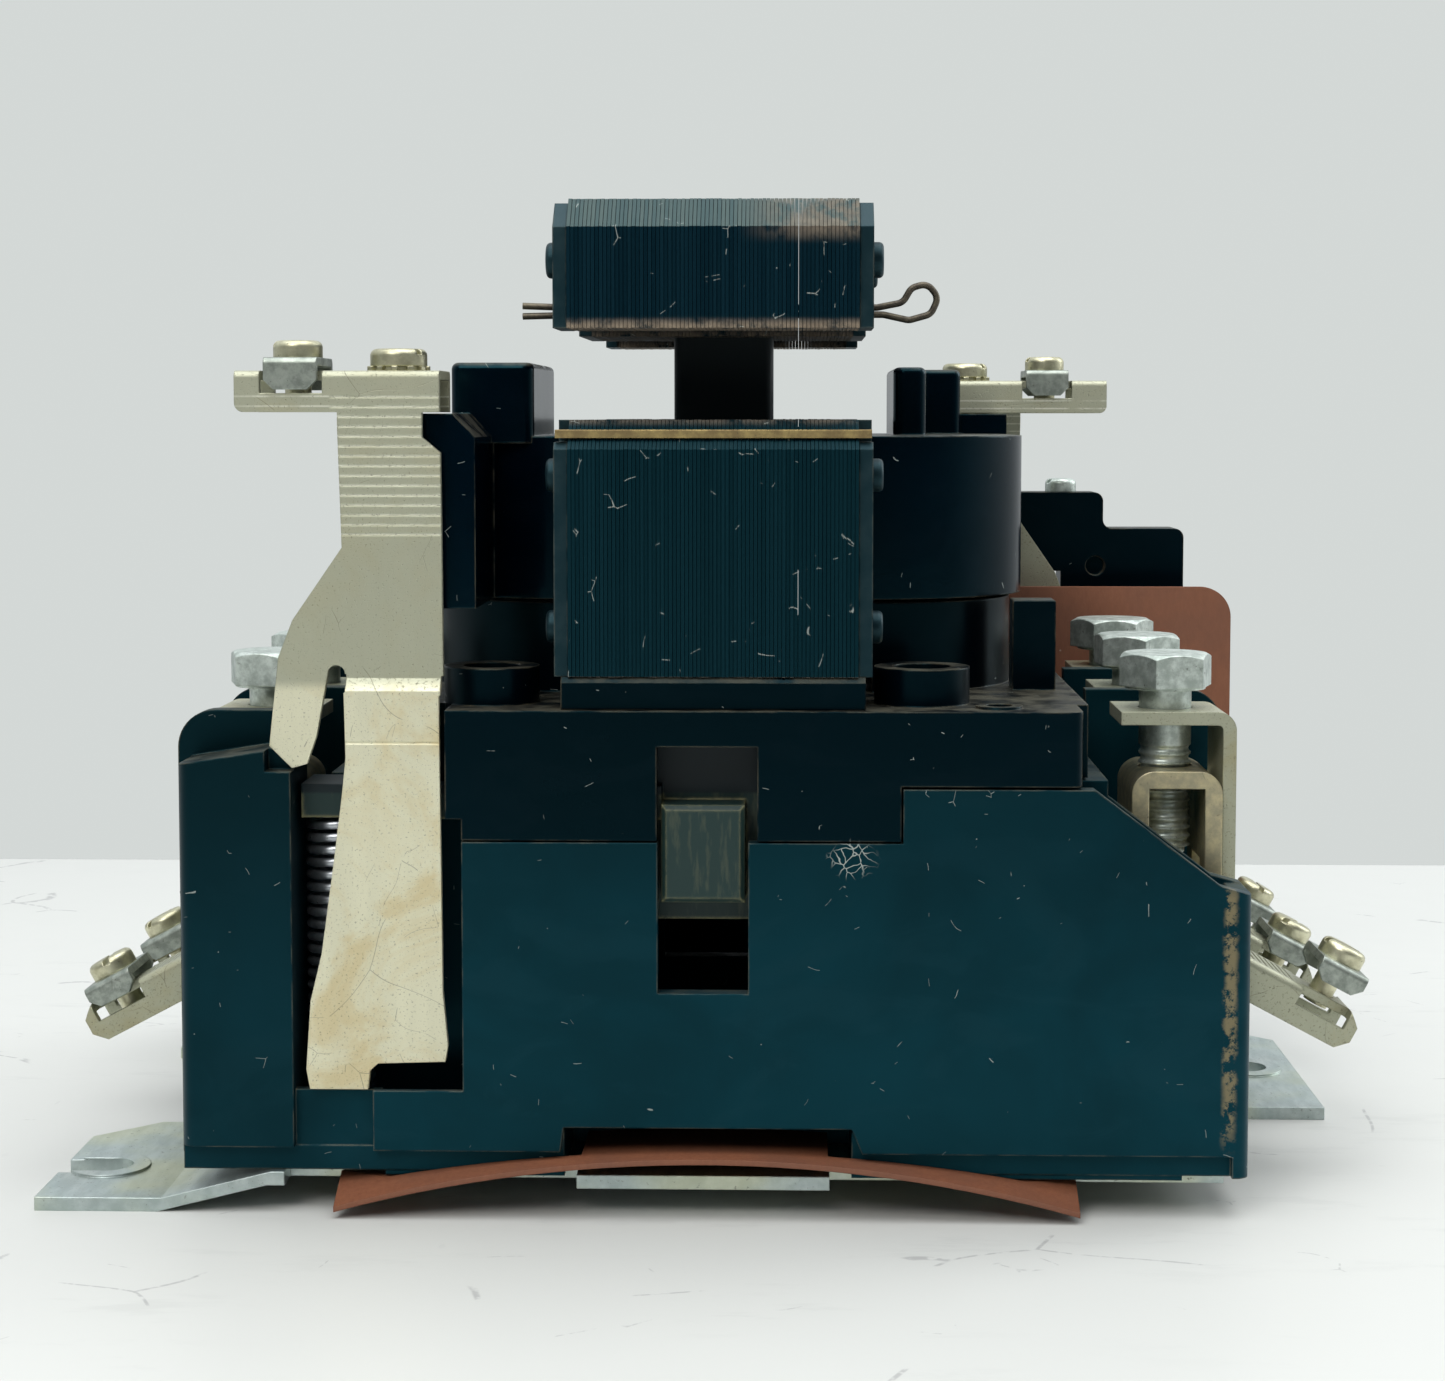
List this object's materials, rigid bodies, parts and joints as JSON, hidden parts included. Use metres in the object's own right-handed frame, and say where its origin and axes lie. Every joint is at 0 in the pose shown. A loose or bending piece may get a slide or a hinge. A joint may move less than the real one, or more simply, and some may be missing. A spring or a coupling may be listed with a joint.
{
  "type": "magnetic contactor",
  "caption": "Open three-pole magnetic contactor on a steel mounting plate, with a sliding armature and contact carrier, coil straps and clamp terminals.",
  "frame": {"origin": "on the panel face, under the middle of the contact carrier", "axes": "+X from the line terminals to the load terminals, +Y across the poles, +Z out of the panel"},
  "size_m": [0.1974, 0.1408, 0.146],
  "materials": {
    "zinc_sheet": "bright zinc plate with a pale passivated bloom",
    "red_fibre": "vulcanised fibre board, matt, with paler cut edges",
    "black_phenolic": "moulded black phenolic, dusty and lightly scratched",
    "carrier_moulding": "moulded black phenolic with worn yellowish edges",
    "coil_moulding": "glossy black encapsulation with dust and lint",
    "core_laminations": "varnished silicon-steel laminations",
    "armature_laminations": "varnished laminations with rust at the edges",
    "core_sheet": "varnished steel side plates and rivets",
    "shading_copper": "tarnished shading ring",
    "winding_copper": "enamelled copper winding",
    "bridge_copper": "bare copper",
    "contact_silver": "silver alloy contact face",
    "cushion_rubber": "soft black rubber",
    "nickel_strip": "tin-plated strip, pale and yellowed, with dark specks",
    "zinc_fitting": "bright zinc plate, greenish silver",
    "gilt_collar": "yellow-passivated steel collar",
    "plated_screw": "yellowed nickel-plated screw",
    "spring_steel": "bright spring wire",
    "cotter_steel": "dull dark steel wire"
  },
  "bodies": {
    "frame": {"mounting_plate": "zinc_sheet", "fibre_liner": "red_fibre", "base_moulding": "black_phenolic", "line_barriers": "black_phenolic", "load_barriers": "black_phenolic", "line_ledges": "black_phenolic", "load_ledges": "black_phenolic", "cover_moulding": "black_phenolic", "cover_screws": "plated_screw", "base_screws": "plated_screw", "magnet_core": "core_laminations", "core_side_plates": "core_sheet", "core_rivets": "core_sheet", "shading_coils": "shading_copper", "core_seats": "black_phenolic", "core_cushions": "cushion_rubber", "coil": "coil_moulding", "coil_winding": "winding_copper", "left_coil_strap": "nickel_strip", "right_coil_strap": "nickel_strip", "coil_saddles": "zinc_fitting", "coil_clamp_screws": "plated_screw", "coil_strap_screws": "plated_screw", "coil_lock_washers": "plated_screw", "load_terminals": "nickel_strip", "line_terminals": "nickel_strip", "wire_collars": "gilt_collar", "hex_clamp_screws": "zinc_fitting", "fixed_contact_tips": "contact_silver", "control_terminals": "nickel_strip", "control_saddles": "zinc_fitting", "control_screws": "plated_screw", "near_return_spring": "spring_steel", "far_return_spring": "spring_steel", "fibre_barrier": "red_fibre", "auxiliary_block": "black_phenolic", "auxiliary_screw": "zinc_fitting", "auxiliary_fixings": "plated_screw"},
    "carrier": {"contact_carrier": "carrier_moulding", "armature": "armature_laminations", "armature_side_plates": "core_sheet", "armature_rivets": "core_sheet", "cotter_pin": "cotter_steel", "near_contact_spring": "spring_steel", "middle_contact_spring": "spring_steel", "far_contact_spring": "spring_steel"},
    "near_bridge": {"near_contact_bridge": "bridge_copper", "near_bridge_tips": "contact_silver"},
    "middle_bridge": {"middle_contact_bridge": "bridge_copper", "middle_bridge_tips": "contact_silver"},
    "far_bridge": {"far_contact_bridge": "bridge_copper", "far_bridge_tips": "contact_silver"}
  },
  "joints": [
    {"name": "carrier_travel", "type": "slide", "parent": "frame", "child": "carrier", "axis": [0, 0, -1], "range_m": [0, 0.0125], "stiffness_N_per_m": 1500, "springref_m": -0.012, "deforming": ["near_return_spring", "far_return_spring"]},
    {"name": "near_bridge_lift", "type": "slide", "parent": "carrier", "child": "near_bridge", "axis": [0, 0, 1], "range_m": [0, 0.002], "stiffness_N_per_m": 3000, "springref_m": -0.003, "deforming": ["near_contact_spring"]},
    {"name": "middle_bridge_lift", "type": "slide", "parent": "carrier", "child": "middle_bridge", "axis": [0, 0, 1], "range_m": [0, 0.002], "stiffness_N_per_m": 3000, "springref_m": -0.003, "deforming": ["middle_contact_spring"]},
    {"name": "far_bridge_lift", "type": "slide", "parent": "carrier", "child": "far_bridge", "axis": [0, 0, 1], "range_m": [0, 0.002], "stiffness_N_per_m": 3000, "springref_m": -0.003, "deforming": ["far_contact_spring"]}
  ]
}
